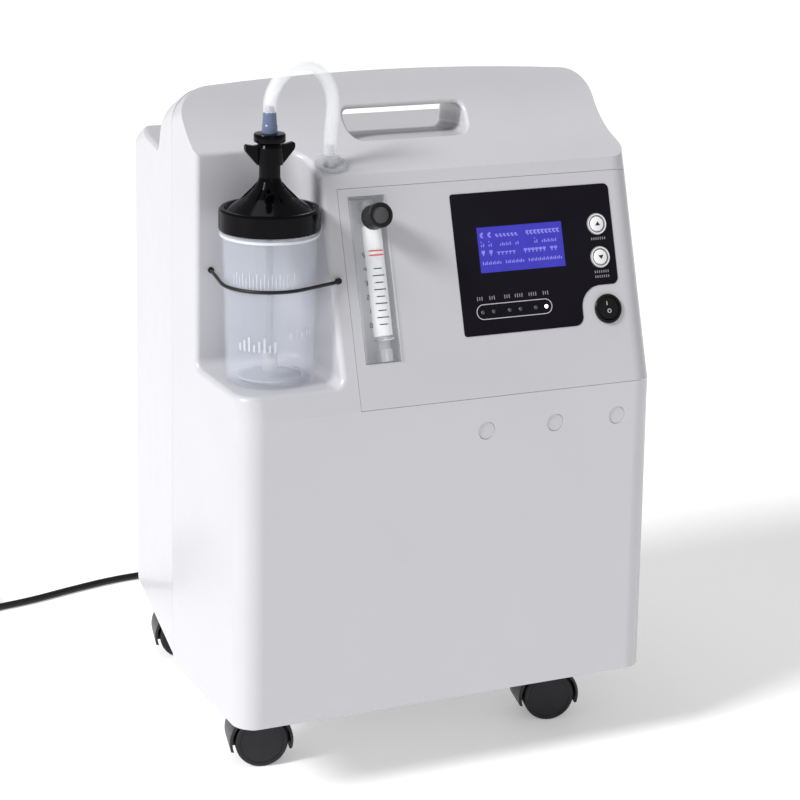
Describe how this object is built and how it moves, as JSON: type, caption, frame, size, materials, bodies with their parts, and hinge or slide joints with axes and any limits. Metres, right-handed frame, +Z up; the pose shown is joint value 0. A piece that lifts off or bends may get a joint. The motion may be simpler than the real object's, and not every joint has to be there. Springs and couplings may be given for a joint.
{
  "type": "oxygen concentrator",
  "caption": "Wheeled oxygen concentrator cabinet with a sloped control panel, flow meter, humidifier bottle in a corner niche, carry slot and mains cord.",
  "frame": {"origin": "on the floor under the middle of the cabinet's bounding box", "axes": "+Z up, front face towards -Y, +X to the object's left as one faces out of the front, so to the right of someone looking at the control panel"},
  "size_m": [0.612, 0.6211, 0.6283],
  "materials": {
    "cabinet": "fine texture, satin",
    "tray": "powder coat",
    "grey_plastic": "satin",
    "screw_steel": "satin",
    "dark_plastic": "satin",
    "wheel_tread": "matt",
    "overlay": "satin film",
    "screen": "gloss",
    "led": "gloss",
    "button": "satin",
    "gloss_black": "semi gloss",
    "clear_block": "polished clear plastic",
    "fitting": "plated and machined",
    "float": "gloss",
    "jar": "clear plastic",
    "lid": "high gloss",
    "wing": "high gloss",
    "spigot": "gloss",
    "diffuser": "porous",
    "strap": "matt",
    "hose": "clear soft plastic",
    "foam": "open foam",
    "machine_grey": "cast",
    "springs": "drawn wire",
    "tank": "extruded",
    "board": "solder mask",
    "cord_rubber": "satin",
    "plug": "satin"
  },
  "bodies": {
    "cabinet": {"base_tray": "tray", "bottle_jar": "jar", "bottle_lid": "lid", "bottle_strap": "strap", "caster_plates": "screw_steel", "compressor": "machine_grey", "compressor_springs": "springs", "control_board": "board", "control_panel": "cabinet", "cord_coil": "cord_rubber", "cord_grommet": "cord_rubber", "cover_screws": "screw_steel", "diffuser": "diffuser", "dip_tube": "jar", "display_screen": "screen", "exhaust_grille": "grey_plastic", "fan_frame": "dark_plastic", "front_cover": "cabinet", "heat_exchanger": "machine_grey", "inlet_spigot": "spigot", "intake_filter": "foam", "intake_muffler": "dark_plastic", "meter_body": "clear_block", "meter_fittings": "fitting", "outlet_fitting": "clear_block", "outlet_hose": "hose", "panel_overlay": "overlay", "plug_pins": "screw_steel", "power_cord": "cord_rubber", "power_plug": "plug", "rear_cover": "cabinet", "run_capacitor": "machine_grey", "screw_caps": "cabinet", "sieve_tanks": "tank", "status_lights": "led", "strap_anchors": "strap", "surge_tank": "tank", "switch_bezel": "gloss_black", "valve_block": "machine_grey"},
    "valve_spindle": {"flow_knob": "gloss_black", "valve_stem": "screw_steel"},
    "float_ball": {"meter_float": "float"},
    "rocker": {"power_rocker": "gloss_black"},
    "button_up": {"up_button": "button"},
    "button_down": {"down_button": "button"},
    "wing_nut": {"wing_connector": "wing"},
    "door": {"filter_door": "grey_plastic"},
    "rotor": {"fan_rotor": "dark_plastic"},
    "swivel_front_left": {"caster_hood_front_left": "dark_plastic", "caster_axle_front_left": "screw_steel"},
    "wheels_front_left": {"caster_wheels_front_left": "wheel_tread"},
    "swivel_front_right": {"caster_hood_front_right": "dark_plastic", "caster_axle_front_right": "screw_steel"},
    "wheels_front_right": {"caster_wheels_front_right": "wheel_tread"},
    "swivel_rear_left": {"caster_hood_rear_left": "dark_plastic", "caster_axle_rear_left": "screw_steel"},
    "wheels_rear_left": {"caster_wheels_rear_left": "wheel_tread"},
    "swivel_rear_right": {"caster_hood_rear_right": "dark_plastic", "caster_axle_rear_right": "screw_steel"},
    "wheels_rear_right": {"caster_wheels_rear_right": "wheel_tread"}
  },
  "joints": [
    {"name": "caster_swivel_front_left", "type": "hinge", "parent": "cabinet", "child": "swivel_front_left", "pos_m": [-0.124, -0.092, 0.055], "axis": [0, 0, 1], "continuous": true},
    {"name": "wheel_roll_front_left", "type": "hinge", "parent": "swivel_front_left", "child": "wheels_front_left", "pos_m": [-0.14063, -0.08847, 0.0235], "axis": [0.2079, 0.9781, 0], "continuous": true},
    {"name": "caster_swivel_front_right", "type": "hinge", "parent": "cabinet", "child": "swivel_front_right", "pos_m": [0.124, -0.092, 0.055], "axis": [0, 0, 1], "continuous": true},
    {"name": "wheel_roll_front_right", "type": "hinge", "parent": "swivel_front_right", "child": "wheels_front_right", "pos_m": [0.14063, -0.09553, 0.0235], "axis": [0.2079, 0.9781, 0], "continuous": true},
    {"name": "caster_swivel_rear_left", "type": "hinge", "parent": "cabinet", "child": "swivel_rear_left", "pos_m": [-0.112, 0.161, 0.055], "axis": [0, 0, 1], "continuous": true},
    {"name": "wheel_roll_rear_left", "type": "hinge", "parent": "swivel_rear_left", "child": "wheels_rear_left", "pos_m": [-0.12863, 0.16453, 0.0235], "axis": [0.2079, 0.9781, 0], "continuous": true},
    {"name": "caster_swivel_rear_right", "type": "hinge", "parent": "cabinet", "child": "swivel_rear_right", "pos_m": [0.112, 0.161, 0.055], "axis": [0, 0, 1], "continuous": true},
    {"name": "wheel_roll_rear_right", "type": "hinge", "parent": "swivel_rear_right", "child": "wheels_rear_right", "pos_m": [0.12863, 0.15747, 0.0235], "axis": [0.2079, 0.9781, 0], "continuous": true},
    {"name": "flow_valve", "type": "hinge", "parent": "cabinet", "child": "valve_spindle", "pos_m": [-0.0605, -0.15163, 0.50112], "axis": [0, -0.9494, 0.314], "range_deg": [0, 720]},
    {"name": "float_rise", "type": "slide", "parent": "cabinet", "child": "float_ball", "axis": [0, 0.314, 0.9494], "range_m": [-0.0696, 0.0184]},
    {"name": "power_rocker_tilt", "type": "hinge", "parent": "cabinet", "child": "rocker", "pos_m": [0.1517, -0.16583, 0.40723], "axis": [1, 0, 0], "range_deg": [0, 10]},
    {"name": "up_button_press", "type": "slide", "parent": "cabinet", "child": "button_up", "axis": [0, 0.9494, -0.314], "range_m": [0, 0.0008], "stiffness_N_per_m": 600},
    {"name": "down_button_press", "type": "slide", "parent": "cabinet", "child": "button_down", "axis": [0, 0.9494, -0.314], "range_m": [0, 0.0008], "stiffness_N_per_m": 600},
    {"name": "wing_nut_turn", "type": "hinge", "parent": "cabinet", "child": "wing_nut", "pos_m": [-0.1455, -0.131, 0.552], "axis": [0, 0, 1], "range_deg": [0, 720]},
    {"name": "filter_door_pull", "type": "slide", "parent": "cabinet", "child": "door", "axis": [0, 1, 0], "range_m": [0, 0.04]},
    {"name": "fan_spin", "type": "hinge", "parent": "cabinet", "child": "rotor", "pos_m": [0.062, -0.008, 0.262], "axis": [0, 0, 1], "continuous": true}
  ]
}
